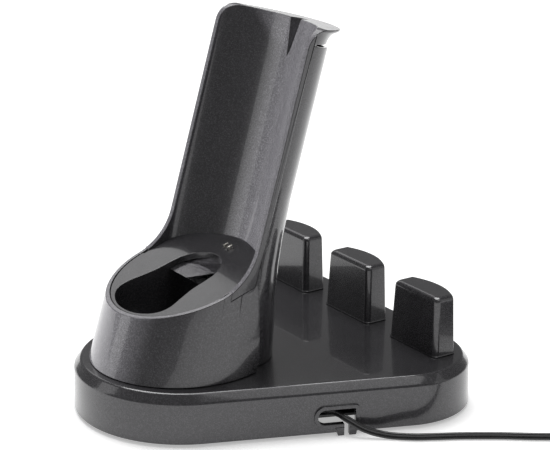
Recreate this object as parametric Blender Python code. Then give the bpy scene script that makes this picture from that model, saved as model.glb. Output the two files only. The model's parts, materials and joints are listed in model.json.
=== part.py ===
"""Charging stand for a hand vacuum: a round pod with a nozzle well, a leaning half-pipe cradle,
a D-shaped base with three accessory posts, and a wall adapter on a flat twin lead.

Lengths below are in millimetres; MM turns them into metres when a mesh is made.
+Z is up, the cradle leans towards +X, and the stand is symmetric about y = 0 apart from its lead.
"""
import math

import bmesh
import bpy
from mathutils import Matrix, Vector

MM = 0.001
GAP = 0.35  # between neighbouring pieces
WALL = 2.4

# Base
FOOT_LIFT = 2.0
BASE_TOP = 31.8
NOSE_X, NOSE_RADIUS = -42.2, 66.9
CORNER_X, CORNER_Y, CORNER_RADIUS = 64.2, 66.1, 44.9
CHAMFER_LOW, CHAMFER_INSET, DRAFT_INSET = 26.7, 4.9, 0.5

# Pod, a leaning-in elliptical cone from the base's top up to the deck
POD_X = -46.0
POD_FOOT_RADIUS = 54.0
POD_HIGH = 81.2
POD_HIGH_X, POD_HIGH_FRONT, POD_HIGH_SIDE = POD_X + 3.6, 41.1, 49.2
PARTING_FOOT_X, PARTING_HIGH_X = POD_X + 22.6, POD_X + 24.9

# Deck plane
DECK_AT_POD, DECK_SLOPE = 81.3, 0.328
DECK_THICK = 2.5

# Cradle
LEAN = math.radians(16.4)
RIM_X, RIM_Z = POD_X + 32.9, 134.8
CRADLE_TOP, TOP_TILT, TOP_RADIUS = 99.6, 0.07, 12.6
RIM_FILLET = 37.0
CRADLE_HALF = 49.5
RIM_BAND = 3.8
CHANNEL_DEPTH = 22.6
CHANNEL_FLAT, CHANNEL_STEEP = 1.75, 0.58
CHANNEL_SIDE = 1.2
RETURN_DEPTH = 3.6
LIP_DEPTH, LIP_DROP = 41.4, 9.0
COVER_START = RETURN_DEPTH + 0.4

# Posts
POST_X, POST_Y = 75.4, 67.8
POST_HALF, POST_SIDE, POST_SAGITTA = 22.5, 14.4, 8.1
POST_HEIGHT, POST_DRAFT, POST_EDGE = 36.6, 1.9, 3.0

# Lead and its slot in the -Y wall
LEAD_WIDTH = 4.4

SCREW_RADIUS, SCREW_HEAD = 1.3, 2.7
DECK_TILT = math.atan(DECK_SLOPE)

MATERIALS = {
    "shell_plastic": ((0.052, 0.051, 0.055), 0.22, 0.25),
    "inner_plastic": ((0.03, 0.03, 0.032), 0.45, 0.0),
    "rubber": ((0.012, 0.012, 0.012), 0.75, 0.0),
    "contact_metal": ((0.83, 0.8, 0.72), 0.22, 1.0),
    "screw_steel": ((0.55, 0.56, 0.58), 0.35, 1.0),
    "lead_vinyl": ((0.01, 0.01, 0.011), 0.3, 0.0),
    "wire_red": ((0.45, 0.02, 0.02), 0.4, 0.0),
    "wire_black": ((0.015, 0.015, 0.015), 0.4, 0.0),
    "adapter_plastic": ((0.014, 0.014, 0.015), 0.4, 0.0),
    "circuit_board": ((0.05, 0.16, 0.07), 0.5, 0.0),
    "transformer_iron": ((0.2, 0.19, 0.18), 0.5, 0.8),
}


def clear_scene():
    for item in list(bpy.data.objects):
        bpy.data.objects.remove(item, do_unlink=True)


def material(name):
    found = bpy.data.materials.get(name)
    if found:
        return found
    color, roughness, metallic = MATERIALS[name]
    made = bpy.data.materials.new(name)
    made.use_nodes = True
    shader = made.node_tree.nodes["Principled BSDF"]
    shader.inputs["Base Color"].default_value = (*color, 1.0)
    shader.inputs["Roughness"].default_value = roughness
    shader.inputs["Metallic"].default_value = metallic
    return made


# Geometry helpers ------------------------------------------------------------------------------


def from_bmesh(name, mesh, finish=None):
    """An object from a bmesh in millimetres; without a finish it is a cutter."""
    bmesh.ops.recalc_face_normals(mesh, faces=mesh.faces)
    bmesh.ops.scale(mesh, vec=(MM, MM, MM), verts=mesh.verts)
    data = bpy.data.meshes.new(name)
    mesh.to_mesh(data)
    mesh.free()
    made = bpy.data.objects.new(name, data)
    bpy.context.scene.collection.objects.link(made)
    if finish:
        data.materials.append(material(finish))
        data.shade_smooth()
        data.set_sharp_from_angle(angle=math.radians(32))
    else:
        made.hide_render = True
        made.display_type = "WIRE"
    return made


def loft(rings):
    """A closed bmesh through rings of equal length, with flat end caps."""
    mesh = bmesh.new()
    rows = [[mesh.verts.new(p) for p in ring] for ring in rings]
    count = len(rows[0])
    for low, high in zip(rows, rows[1:]):
        for i in range(count):
            j = (i + 1) % count
            mesh.faces.new((low[i], low[j], high[j], high[i]))
    mesh.faces.new(rows[0][::-1])
    mesh.faces.new(rows[-1])
    return mesh


def lofted(name, rings, finish=None):
    return from_bmesh(name, loft(rings), finish)


def prism(name, outline, low, high, finish=None):
    """An outline of (x, y) points extruded from z = low to z = high."""
    return lofted(name, [[(x, y, z) for x, y in outline] for z in (low, high)], finish)


def side_prism(name, outline, half_width):
    """An outline of (x, z) points extruded to both sides of y = 0."""
    return lofted(name, [[(x, y, z) for x, z in outline] for y in (-half_width, half_width)])


def circle(x, y, radius, steps=24, start=0.0, sweep=2 * math.pi):
    whole = abs(sweep) >= 2 * math.pi - 1e-6
    turns = [start + sweep * i / (steps if whole else steps - 1) for i in range(steps)]
    return [(x + radius * math.cos(t), y + radius * math.sin(t)) for t in turns]


def cylinder(name, x, y, radius, low, high, finish=None, steps=20):
    return prism(name, circle(x, y, radius, steps), low, high, finish)


def box(name, low, high, finish=None):
    (x0, y0, z0), (x1, y1, z1) = low, high
    return prism(name, [(x0, y0), (x1, y0), (x1, y1), (x0, y1)], z0, z1, finish)


def boolean(target, tool, operation):
    change = target.modifiers.new(tool.name, "BOOLEAN")
    change.object = tool
    change.operation = operation
    change.solver = "EXACT"


def cut(target, *tools):
    for tool in tools:
        boolean(target, tool, "DIFFERENCE")


def keep(target, *tools):
    for tool in tools:
        boolean(target, tool, "INTERSECT")


def add(target, *tools):
    for tool in tools:
        boolean(target, tool, "UNION")


def smooth_curve(points, per_span):
    """Points along a Catmull-Rom curve through the given ones."""
    ends = [points[0]] + list(points) + [points[-1]]
    spots = [Vector(p) for p in ends]
    path = []
    for a, b, c, d in zip(spots, spots[1:], spots[2:], spots[3:]):
        for i in range(per_span):
            t = i / per_span
            path.append(0.5 * ((2 * b) + (c - a) * t + (2 * a - 5 * b + 4 * c - d) * t * t
                               + (3 * b - a - 3 * c + d) * t ** 3))
    path.append(spots[-1])
    return path


def even_curve(points, spacing):
    """The same smooth curve with its points a constant distance apart."""
    fine = smooth_curve(points, 40)
    total = sum((b - a).length for a, b in zip(fine, fine[1:]))
    count = max(2, round(total / spacing))
    path, walked, wanted = [fine[0]], 0.0, total / count
    for a, b in zip(fine, fine[1:]):
        step = (b - a).length
        while step > 0 and walked + step >= wanted * len(path) and len(path) < count:
            path.append(a.lerp(b, (wanted * len(path) - walked) / step))
        walked += step
    return path + [fine[-1]]


def tube(name, path, radius, finish, sides=2):
    """A round tube as a curve object through points in millimetres."""
    data = bpy.data.curves.new(name, "CURVE")
    data.dimensions = "3D"
    data.bevel_depth = radius * MM
    data.bevel_resolution = sides
    data.use_fill_caps = True
    line = data.splines.new("POLY")
    line.points.add(len(path) - 1)
    for spot, p in zip(line.points, path):
        spot.co = (p[0] * MM, p[1] * MM, p[2] * MM, 1.0)
    made = bpy.data.objects.new(name, data)
    bpy.context.scene.collection.objects.link(made)
    data.materials.append(material(finish))
    return made


def screw(name, x, y, head_low, tip, finish="screw_steel", head=SCREW_HEAD, head_height=1.5):
    """A pan-head screw standing up from its head, with a cross-slot cut in the head."""
    body = cylinder(name, x, y, head, head_low, head_low + head_height, finish)
    shaft = cylinder(name + "_shaft", x, y, SCREW_RADIUS, head_low + 0.5, tip, steps=12)
    add(body, shaft)
    for i, (across, along) in enumerate(((0.4, 1.7), (1.7, 0.4))):
        low = (x - across, y - along, head_low - 1.0)
        cut(body, box(f"{name}_slot{i}", low, (x + across, y + along, head_low + 0.7)))
    return body


# Outlines --------------------------------------------------------------------------------------


def base_outline(inset):
    """The base's D in plan: a wide nose arc at -X and two corner arcs at +X."""
    nose, corner = NOSE_RADIUS - inset, CORNER_RADIUS - inset
    reach = math.hypot(CORNER_X - NOSE_X, CORNER_Y)
    lean = math.atan2(CORNER_Y, CORNER_X - NOSE_X) + math.acos((nose - corner) / reach)
    points = circle(CORNER_X, CORNER_Y, corner, 12, 0.0, lean)
    points += circle(NOSE_X, 0.0, nose, 29, lean, 2 * (math.pi - lean))
    points += circle(CORNER_X, -CORNER_Y, corner, 12, -lean, lean)
    return points


def base_ring(inset, z):
    return [(x, y, z) for x, y in base_outline(inset)]


def pod_ring(z, inset, rear_extra=0.0, arc_steps=33):
    """One level of the pod: a half ellipse at the front, then sides back to the parting line."""
    rise = (z - BASE_TOP) / (POD_HIGH - BASE_TOP)
    part = min(rise, 1.0)
    centre = POD_X + (POD_HIGH_X - POD_X) * part
    front = POD_FOOT_RADIUS + (POD_HIGH_FRONT - POD_FOOT_RADIUS) * part - inset
    side = POD_FOOT_RADIUS + (POD_HIGH_SIDE - POD_FOOT_RADIUS) * part - inset
    bulge = POD_FOOT_RADIUS * (1 - part) + 400.0 * part
    rear = PARTING_FOOT_X + (PARTING_HIGH_X - PARTING_FOOT_X) * rise
    flank = []
    for i in range(6):
        x = centre + (rear - centre) * i / 5
        flank.append((x, side * math.sqrt(max(0.0, 1 - ((x - centre) / bulge) ** 2))))
    if rear_extra:
        flank.append((rear + rear_extra, flank[-1][1]))
    turns = [math.pi / 2 + math.pi * i / (arc_steps - 1) for i in range(arc_steps)]
    arc = [(centre + front * math.cos(t), side * math.sin(t)) for t in turns]
    ring = [(x, y) for x, y in flank[:0:-1]] + arc + [(x, -y) for x, y in flank[1:]]
    return [(x, y, z) for x, y in ring]


def deck_height(x, below=0.0):
    return DECK_AT_POD + DECK_SLOPE * (x - POD_X) - below


def cradle_point(along, behind, y=0.0):
    """A point given by its place along the lean and its depth behind the rim."""
    return (RIM_X + along * math.sin(LEAN) + behind * math.cos(LEAN), y,
            RIM_Z + along * math.cos(LEAN) - behind * math.sin(LEAN))


def cradle_side(along, behind):
    x, _, z = cradle_point(along, behind)
    return (x, z)


def filleted(before, corner, after, radius, steps):
    """An arc of that radius that rounds a corner, in 2D."""
    a, c, b = Vector(before), Vector(corner), Vector(after)
    to_a, to_b = (a - c).normalized(), (b - c).normalized()
    half = to_a.angle(to_b) / 2
    centre = c + (to_a + to_b).normalized() * radius / math.sin(half)
    start = c + to_a * radius / math.tan(half) - centre
    end = c + to_b * radius / math.tan(half) - centre
    first = math.atan2(start.y, start.x)
    sweep = (math.atan2(end.y, end.x) - first + math.pi) % (2 * math.pi) - math.pi
    return [(centre.x + radius * math.cos(first + sweep * i / steps),
             centre.y + radius * math.sin(first + sweep * i / steps)) for i in range(steps + 1)]


def side_profile(lift=0.0, drop=200.0):
    """The stand's side view in (x, z): deck line, sweep into the rim, and the rounded top."""
    front = (POD_X - 80.0, deck_height(POD_X - 80.0) + lift)
    run = (DECK_AT_POD + DECK_SLOPE * (RIM_X - POD_X) - RIM_Z) / (
        math.cos(LEAN) - DECK_SLOPE * math.sin(LEAN))
    knee = cradle_side(run, 0.0)
    top = cradle_side(CRADLE_TOP, 0.0)
    back = cradle_side(CRADLE_TOP + 90.0 * TOP_TILT, 90.0)
    outline = [front]
    outline += filleted(front, knee, top, RIM_FILLET, 12)
    outline += filleted(knee, top, back, TOP_RADIUS, 8)
    outline += [back, (back[0], front[1] - drop), (front[0], front[1] - drop)]
    return outline


def channel_arc(depth, half, steps=27):
    """The half-pipe's section as (behind, y) from +y to -y: steep at the rims, round behind."""
    across = [math.cos(math.pi * i / (steps - 1)) for i in range(steps)]
    return [(depth * (1 - abs(a) ** CHANNEL_FLAT) ** CHANNEL_STEEP, half * a) for a in across]


def half_ellipse(start, depth, half, steps=29):
    turns = [math.pi / 2 - math.pi * i / (steps - 1) for i in range(steps)]
    return [(start + depth * math.cos(t), half * math.sin(t)) for t in turns]


def well_outline(inset):
    """The nozzle well in plan: wide and round at the front, narrower and round at the rear."""
    widths = ((-38.1, 0.0), (-37.4, 8.0), (-35.2, 15.0), (-31.4, 21.4), (-26.4, 25.2),
              (-20.4, 25.9), (-12.0, 23.4), (-3.4, 21.0), (5.4, 20.2), (12.4, 19.2), (18.2, 16.2),
              (22.8, 11.4), (25.4, 5.6), (26.1, 0.0))
    loop = [(POD_X + x, w) for x, w in widths] + [(POD_X + x, -w) for x, w in widths[-2:0:-1]]
    closed = [loop[-1]] + loop + loop[:2]
    dense = []
    for a, b, c, d in zip(closed, closed[1:], closed[2:], closed[3:]):
        a, b, c, d = (Vector(p) for p in (a, b, c, d))
        for t in (0.0, 0.5):
            dense.append(0.5 * ((2 * b) + (c - a) * t + (2 * a - 5 * b + 4 * c - d) * t * t
                                + (3 * b - a - 3 * c + d) * t ** 3))
    shifted = []
    for before, here, after in zip(dense[-1:] + dense, dense, dense[1:] + dense[:1]):
        tangent = (after - before).normalized()
        shifted.append((here.x - tangent.y * -inset, here.y - tangent.x * inset))
    return shifted


# Base ------------------------------------------------------------------------------------------

WALL_TURN = math.atan2(CORNER_Y, CORNER_X - NOSE_X) + math.acos(
    (NOSE_RADIUS - CORNER_RADIUS) / math.hypot(CORNER_X - NOSE_X, CORNER_Y))
WALL_OUT = Vector((math.cos(WALL_TURN), -math.sin(WALL_TURN), 0.0))
WALL_ALONG = Vector((math.sin(WALL_TURN), math.cos(WALL_TURN), 0.0))
WALL_DISTANCE = (Vector((NOSE_X - POD_X, 0.0, 0.0)).dot(WALL_OUT)) + NOSE_RADIUS

SLOT_START, SLOT_END = 69.4, 91.6
SLOT_LOW, SLOT_HIGH = 7.6, 16.7
COLLAR = 2.3
NOTCH_START, NOTCH_END = 84.9, 87.8
LEG_START, LEG_END, LEG_LOW = 79.5, 93.0, 0.3
COLLAR_PROUD = 1.1

PLATE_LOW, PLATE_HIGH = 3.2, 5.2
PLATE_SCREWS = ((-66.0, 34.0), (-66.0, -34.0), (72.0, 84.0), (72.0, -84.0))
FOOT_SPOTS = ((-88.0, 0.0), (10.0, 74.0), (34.0, -84.0), (92.0, 46.0), (92.0, -46.0))
FOOT_RADIUS = 7.0
CRADLE_SCREWS = ((-91.5, 0.0), (-46.0, 47.2), (-46.0, -47.2), (3.4, 0.0))
WIRE_HOLE = (-10.0, 0.0)
WIRE_HOLE_RADIUS = 7.0


def wall_place(along, out, z):
    """A point by the side wall: along it from the pod's axis, and outwards from that axis."""
    spot = WALL_ALONG * along + WALL_OUT * out
    return (POD_X + spot.x, spot.y, z)


def wall_prism(name, outline, near, far):
    """An outline of (along, z) on the side wall, extruded outwards from near to far."""
    return lofted(name, [[wall_place(s, out, z) for s, z in outline] for out in (near, far)])


def slot_outline(grow):
    """The lead's slot: a half round at its -X end and square at the other."""
    middle, radius = (SLOT_LOW + SLOT_HIGH) / 2, (SLOT_HIGH - SLOT_LOW) / 2 + grow
    centre = SLOT_START + radius - grow
    arc = [(centre - radius * math.sin(t), middle + radius * math.cos(t))
           for t in (math.pi * i / 12 for i in range(13))]
    end = SLOT_END + grow
    corner = circle(end - grow, middle + radius - grow, grow, 5, 0.0, math.pi / 2) if grow else []
    return arc + [(end, middle - radius)] + (corner or [(end, middle + radius)])


def base_housing():
    housing = lofted("base_housing", [base_ring(0.0, FOOT_LIFT),
                                      base_ring(DRAFT_INSET, CHAMFER_LOW),
                                      base_ring(CHAMFER_INSET, BASE_TOP)], "shell_plastic")
    ceiling = BASE_TOP - WALL
    cavity = lofted("base_cavity", [base_ring(WALL, FOOT_LIFT - 1.0),
                                    base_ring(WALL + DRAFT_INSET, CHAMFER_LOW - 1.5),
                                    base_ring(WALL + CHAMFER_INSET - 1.5, ceiling)])
    cut(housing, cavity)
    collar = wall_prism("slot_collar", slot_outline(COLLAR), WALL_DISTANCE - WALL - 0.4,
                        WALL_DISTANCE + COLLAR_PROUD)
    middle = SLOT_LOW - COLLAR + 1.0
    legs = wall_prism("slot_legs", [(LEG_START, middle), (LEG_START + 1.6, LEG_LOW),
                                    (LEG_END - 1.0, LEG_LOW), (LEG_END, middle)],
                      WALL_DISTANCE - WALL - 0.4, WALL_DISTANCE + COLLAR_PROUD - 0.15)
    add(housing, collar, legs)
    reach = (WALL_DISTANCE - WALL - 6.0, WALL_DISTANCE + 6.0)
    slot = wall_prism("slot_cut", slot_outline(0.0), *reach)
    notch = wall_prism("notch_cut", [(NOTCH_START, SLOT_LOW + 1.0), (NOTCH_START, -3.0),
                                     (NOTCH_END, -3.0), (NOTCH_END, SLOT_LOW + 1.0)], *reach)
    cut(housing, slot, notch)
    for i, (x, y) in enumerate(PLATE_SCREWS):
        add(housing, cylinder(f"plate_boss{i}", x, y, 4.2, PLATE_HIGH + GAP, ceiling + 1.0))
        cut(housing, cylinder(f"plate_pilot{i}", x, y, SCREW_RADIUS + GAP, 0.0, 18.0, steps=12))
    for i, (x, y) in enumerate(CRADLE_SCREWS + tuple((POST_X + 9.5, y) for y in post_rows())):
        hole = cylinder(f"top_hole{i}", x, y, SCREW_RADIUS + GAP, ceiling - 2.0, BASE_TOP + 2.0,
                        steps=12)
        cut(housing, hole)
    cut(housing, cylinder("wire_hole", *WIRE_HOLE, WIRE_HOLE_RADIUS, ceiling - 2.0,
                          BASE_TOP + 2.0))
    return housing


def base_plate():
    """The floor plate, cut away behind the lead's slot."""
    plate = lofted("base_plate", [base_ring(WALL + 0.6, PLATE_LOW),
                                  base_ring(WALL + 0.6, PLATE_HIGH)], "inner_plastic")
    window = [(SLOT_START - 8.0, 46.0), (SLOT_END + 6.0, 46.0), (SLOT_END + 6.0, 80.0),
              (SLOT_START - 8.0, 80.0)]
    corners = [wall_place(s, out, 0.0)[:2] for s, out in window]
    cut(plate, prism("plate_window", corners, 0.0, 10.0))
    for i, (x, y) in enumerate(PLATE_SCREWS):
        cut(plate, cylinder(f"plate_hole{i}", x, y, SCREW_RADIUS + GAP, 0.0, 10.0, steps=12))
    for i, (x, y) in enumerate(clamp_screw_spots()):
        cut(plate, cylinder(f"clamp_pilot{i}", x, y, SCREW_RADIUS + GAP, 0.0, 10.0, steps=12))
    return plate


def feet_and_screws():
    for i, (x, y) in enumerate(FOOT_SPOTS):
        rings = [[(px, py, z) for px, py in circle(x, y, radius, 24)]
                 for radius, z in ((FOOT_RADIUS - 0.6, 0.0), (FOOT_RADIUS, 0.7),
                                   (FOOT_RADIUS, PLATE_LOW - GAP))]
        lofted(f"rubber_foot_{i + 1}", rings, "rubber")
    for i, (x, y) in enumerate(PLATE_SCREWS):
        screw(f"plate_screw_{i + 1}", x, y, PLATE_LOW - GAP - 1.5, 15.0)
    for i, (x, y) in enumerate(CRADLE_SCREWS):
        screw(f"cradle_screw_{i + 1}", x, y, BASE_TOP - WALL - GAP - 1.5, BASE_TOP + 10.0)
    for side, y in zip(("left", "middle", "right"), post_rows()):
        screw(f"post_screw_{side}", POST_X + 9.5, y, BASE_TOP - WALL - GAP - 1.5,
              BASE_TOP + 10.0)


# Posts -----------------------------------------------------------------------------------------


def post_rows():
    return (POST_Y, 0.0, -POST_Y)


def post_ring(y, inset, z, corner=2.6):
    """A D in plan with rounded front corners: flat towards -X, bowed towards +X."""
    half = POST_HALF - inset
    front, side = POST_X + inset, POST_X + POST_SIDE
    radius = (half * half + (POST_SAGITTA - inset) ** 2) / (2 * max(POST_SAGITTA - inset, 0.5))
    reach = math.asin(half / radius)
    bow_x = side + POST_SAGITTA - inset - radius
    points = circle(bow_x, y, radius, 15, -reach, 2 * reach)
    points += circle(front + corner, y + half - corner, corner, 5, math.pi / 2, math.pi / 2)
    points += circle(front + corner, y - half + corner, corner, 5, math.pi, math.pi / 2)
    return [(px, py, z) for px, py in points]


def attachment_post(side, y):
    low, top = BASE_TOP + GAP, BASE_TOP + POST_HEIGHT
    draft = POST_DRAFT * 0.8
    outer = [post_ring(y, 0.0, low), post_ring(y, draft, top - POST_EDGE)]
    for t in (math.pi / 8, math.pi / 4, 3 * math.pi / 8, math.pi / 2):
        outer.append(post_ring(y, draft + POST_EDGE * (1 - math.cos(t)),
                               top - POST_EDGE * (1 - math.sin(t)), 2.6))
    post = lofted(f"attachment_post_{side}", outer, "shell_plastic")
    hollow = lofted(f"post_hollow_{side}", [post_ring(y, WALL, low - 1.0),
                                            post_ring(y, WALL + draft, top - POST_EDGE - 1.0),
                                            post_ring(y, WALL + draft + 2.0, top - WALL)])
    cut(post, hollow)
    add(post, cylinder(f"post_boss_{side}", POST_X + 9.5, y, 4.0, low, top - WALL + 1.0))
    cut(post, cylinder(f"post_pilot_{side}", POST_X + 9.5, y, SCREW_RADIUS + GAP, low - 1.0,
                       low + 14.0, steps=12))
    return post


# Pod, cradle and cover -------------------------------------------------------------------------


def pod_solid(name, inset, rear_extra, low, finish=None):
    levels = (low, 56.0, POD_HIGH, POD_HIGH + 30.0)
    return lofted(name, [pod_ring(z, inset, rear_extra) for z in levels], finish)


def channel_solid(name):
    """The half pipe with its rim bands, as one section run along the lean."""
    back = WALL
    inner = channel_arc(CHANNEL_DEPTH, CRADLE_HALF - RIM_BAND)
    outer = channel_arc(CHANNEL_DEPTH, CRADLE_HALF - RIM_BAND + CHANNEL_SIDE)
    outer = [(v + back, y) for v, y in outer]
    section = [(-11.0, CRADLE_HALF), (-11.0, CRADLE_HALF - RIM_BAND)] + inner
    section += [(-11.0, RIM_BAND - CRADLE_HALF), (-11.0, -CRADLE_HALF)]
    section += [(RETURN_DEPTH, -CRADLE_HALF), (RETURN_DEPTH, WALL - CRADLE_HALF)]
    section += outer[::-1] + [(RETURN_DEPTH, CRADLE_HALF - WALL), (RETURN_DEPTH, CRADLE_HALF)]
    rings = [[cradle_point(u, v, y) for v, y in section] for u in (-62.0, CRADLE_TOP + 12.0)]
    return lofted(name, rings)


def lip_solid(name):
    """The top: a plate from the channel out over the rear cover, flaring to a thin lip."""
    steps = ((CRADLE_TOP - LIP_DROP, 0.0), (CRADLE_TOP - 6.0, 0.8), (CRADLE_TOP - 3.6, 3.0),
             (CRADLE_TOP - 2.0, 6.6), (CRADLE_TOP - 1.2, 9.4), (CRADLE_TOP + 12.0, 9.4))
    start = LIP_DEPTH - 9.4
    rings = []
    for u, flare in steps:
        half = CRADLE_HALF - 1.2 + 1.2 * flare / 9.4
        outer = half_ellipse(0.5, start + flare - 0.5, half)
        inner = [(v + 0.6, y) for v, y in
                 channel_arc(CHANNEL_DEPTH + 0.6, CRADLE_HALF - RIM_BAND + 0.7)]
        lean = [u + TOP_TILT * v for v, _ in outer]
        rings.append([cradle_point(a, v, y) for a, (v, y) in zip(lean, outer)]
                     + [cradle_point(u + TOP_TILT * v, v, y) for v, y in inner[::-1]])
    return lofted(name, rings)


def under_deck():
    """The side view's region under the deck, which the channel stays out of."""
    xs = (POD_X - 80.0, POD_X + 150.0)
    return [(xs[0], deck_height(xs[0], 4.0)), (xs[1], deck_height(xs[1], 4.0)),
            (xs[1], -60.0), (xs[0], -60.0)]


def notch_wedge(name, grow, near):
    """A wedge at the top of the channel's spine, deep at the top and fading out below."""
    half, deep, fall = 4.6 + grow, 7.4 + grow, 23.0 + 3.0 * grow
    wide = [(near, half + 2.4), (CHANNEL_DEPTH + deep, half - 1.4),
            (CHANNEL_DEPTH + deep, 1.4 - half), (near, -half - 2.4)]
    slim = [(near, 1.2 + grow), (CHANNEL_DEPTH + grow - 0.6, 0.3 + grow),
            (CHANNEL_DEPTH + grow - 0.6, -0.3 - grow), (near, -1.2 - grow)]
    rings = [[cradle_point(CRADLE_TOP - fall, v, y) for v, y in slim],
             [cradle_point(CRADLE_TOP + 6.0, v, y) for v, y in wide]]
    return lofted(name, rings)


def cradle_shell():
    shell = pod_solid("cradle_shell", 0.0, 0.0, BASE_TOP + GAP, "shell_plastic")
    cut(shell, pod_solid("pod_hollow", WALL, 6.0, BASE_TOP - 1.0))
    channel = channel_solid("channel")
    cut(channel, side_prism("under_deck", under_deck(), 90.0))
    add(shell, channel, lip_solid("lip"), notch_wedge("notch_back", 2.0, CHANNEL_DEPTH + 1.0))
    keep(shell, side_prism("side_view", side_profile(), 90.0))
    cut(shell, notch_wedge("hang_notch", 0.0, CHANNEL_DEPTH - 3.0))
    for i, (x, y) in enumerate(CRADLE_SCREWS[:3]):
        add(shell, cylinder(f"pod_boss{i}", x, y, 4.2, BASE_TOP + GAP, BASE_TOP + 12.0))
        cut(shell, cylinder(f"pod_pilot{i}", x, y, SCREW_RADIUS + GAP, BASE_TOP - 1.0,
                            BASE_TOP + 10.5, steps=12))
    return shell


def deck_slab(name, low, high):
    """A slab parallel to the deck plane, between two depths below it."""
    outline = [(POD_X - 80.0, deck_height(POD_X - 80.0, low)),
               (POD_X + 90.0, deck_height(POD_X + 90.0, low)),
               (POD_X + 90.0, deck_height(POD_X + 90.0, high)),
               (POD_X - 80.0, deck_height(POD_X - 80.0, high))]
    return side_prism(name, outline, 80.0)


def docking_deck():
    """The sloping deck inside the pod's rim, with the nozzle well hanging from it."""
    deck = pod_solid("docking_deck", WALL + GAP, 34.0, 50.0, "shell_plastic")
    keep(deck, deck_slab("deck_slab", 0.4, 0.4 + DECK_THICK))
    arc = channel_arc(CHANNEL_DEPTH - GAP, CRADLE_HALF - RIM_BAND - GAP)
    section = [(-14.0, arc[0][1])] + arc + [(-14.0, arc[-1][1])]
    front = [(-120.0, 70.0), (-14.0, 70.0)] + section + [(-14.0, -70.0), (-120.0, -70.0)]
    keep(deck, lofted("deck_front", [[cradle_point(u, v, y) for v, y in front]
                                     for u in (-110.0, 20.0)]))
    band_gap = CRADLE_HALF - RIM_BAND - GAP
    for side in (1, -1):
        low_y, high_y = sorted((side * band_gap, side * 70.0))
        strip = [(-11.0 - GAP, low_y), (8.0, low_y), (8.0, high_y), (-11.0 - GAP, high_y)]
        cut(deck, lofted(f"band_room{side}", [[cradle_point(u, v, y) for v, y in strip]
                                              for u in (-90.0, 20.0)]))
    tub = lofted("well_tub", [[(x, y, z) for x, y in well_outline(inset)]
                              for inset, z in ((0.6, WELL_FLOOR - 2.0), (-1.9, 92.0))])
    cut(tub, deck_slab("tub_trim", -40.0, 0.6))
    keep(tub, pod_solid("tub_room", WALL + GAP, 34.0, 33.0))
    add(deck, tub)
    hollow = ((3.4, WELL_FLOOR), (1.4, WELL_FLOOR + 3.0), (0.0, 92.0))
    cut(deck, lofted("well_hollow", [[(x, y, z) for x, y in well_outline(inset)]
                                     for inset, z in hollow]))
    for side in (1, -1):
        y = side * CONTACT_SPREAD
        low, high = (-BLADE_LONG / 2 - GAP, y - BLADE_THICK / 2 - GAP), (
            BLADE_LONG / 2 + GAP, y + BLADE_THICK / 2 + GAP)
        cut(deck, contact_box(f"blade_slot{side}", (*low, -6.0), (*high, 4.0)))
    return deck


# Charging contacts -----------------------------------------------------------------------------

WELL_FLOOR = 40.0
CONTACT_X = POD_X + 34.6
CONTACT_SPREAD = 2.2
BLADE_LONG, BLADE_THICK, BLADE_PROUD = 3.4, 1.3, 1.6
FLANGE_LONG, FLANGE_WIDE, FLANGE_THICK = 4.4, 2.5, 0.8
DECK_UNDER = 0.4 + DECK_THICK
HOUSING_DEPTH = 13.0
SPRING_RADIUS, SPRING_WIRE, SPRING_TURNS = 0.95, 0.16, 4


def contact_point(along, y, up):
    """A point by the contacts: up the deck's slope, across, and out from the deck plane."""
    return (CONTACT_X + along * math.cos(DECK_TILT) - up * math.sin(DECK_TILT), y,
            deck_height(CONTACT_X) + along * math.sin(DECK_TILT) + up * math.cos(DECK_TILT))


def contact_box(name, low, high, finish=None):
    (a0, y0, u0), (a1, y1, u1) = low, high
    rings = [[contact_point(a, y, u) for a, y in ((a0, y0), (a1, y0), (a1, y1), (a0, y1))]
             for u in (u0, u1)]
    return lofted(name, rings, finish)


def contact_housing():
    top = -DECK_UNDER - GAP
    housing = contact_box("contact_housing", (-4.4, -6.0, top - HOUSING_DEPTH), (4.4, 6.0, top),
                          "inner_plastic")
    for side in (1, -1):
        y = side * CONTACT_SPREAD
        half = FLANGE_WIDE / 2 + GAP
        cut(housing, contact_box(f"contact_bay{side}", (-FLANGE_LONG / 2 - GAP, y - half, top - 8.0),
                                 (FLANGE_LONG / 2 + GAP, y + half, top + 1.0)))
        cut(housing, contact_box(f"wire_bay{side}", (-0.9, y - 0.9, top - HOUSING_DEPTH - 1.0),
                                 (0.9, y + 0.9, top - 7.0)))
    return housing


def contact_blades():
    top = -DECK_UNDER - GAP
    for side, name in ((1, "left"), (-1, "right")):
        y = side * CONTACT_SPREAD
        blade = contact_box(f"contact_blade_{name}",
                            (-BLADE_LONG / 2, y - BLADE_THICK / 2, top - GAP - 0.4),
                            (BLADE_LONG / 2, y + BLADE_THICK / 2, BLADE_PROUD), "contact_metal")
        flange = contact_box(f"flange_{name}",
                             (-FLANGE_LONG / 2, y - FLANGE_WIDE / 2, top - GAP - FLANGE_THICK),
                             (FLANGE_LONG / 2, y + FLANGE_WIDE / 2, top - GAP))
        add(blade, flange)
        low, high = top - 8.0 + GAP, top - GAP - FLANGE_THICK - GAP
        steps = 8 * SPRING_TURNS
        path = []
        for i in range(steps + 1):
            turn = 2 * math.pi * i / 8
            up = low + SPRING_WIRE + (high - low - 2 * SPRING_WIRE) * i / steps
            path.append(contact_point(SPRING_RADIUS * math.cos(turn),
                                      y + SPRING_RADIUS * math.sin(turn), up))
        tube(f"contact_spring_{name}", path, SPRING_WIRE, "contact_metal", sides=1)


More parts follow.
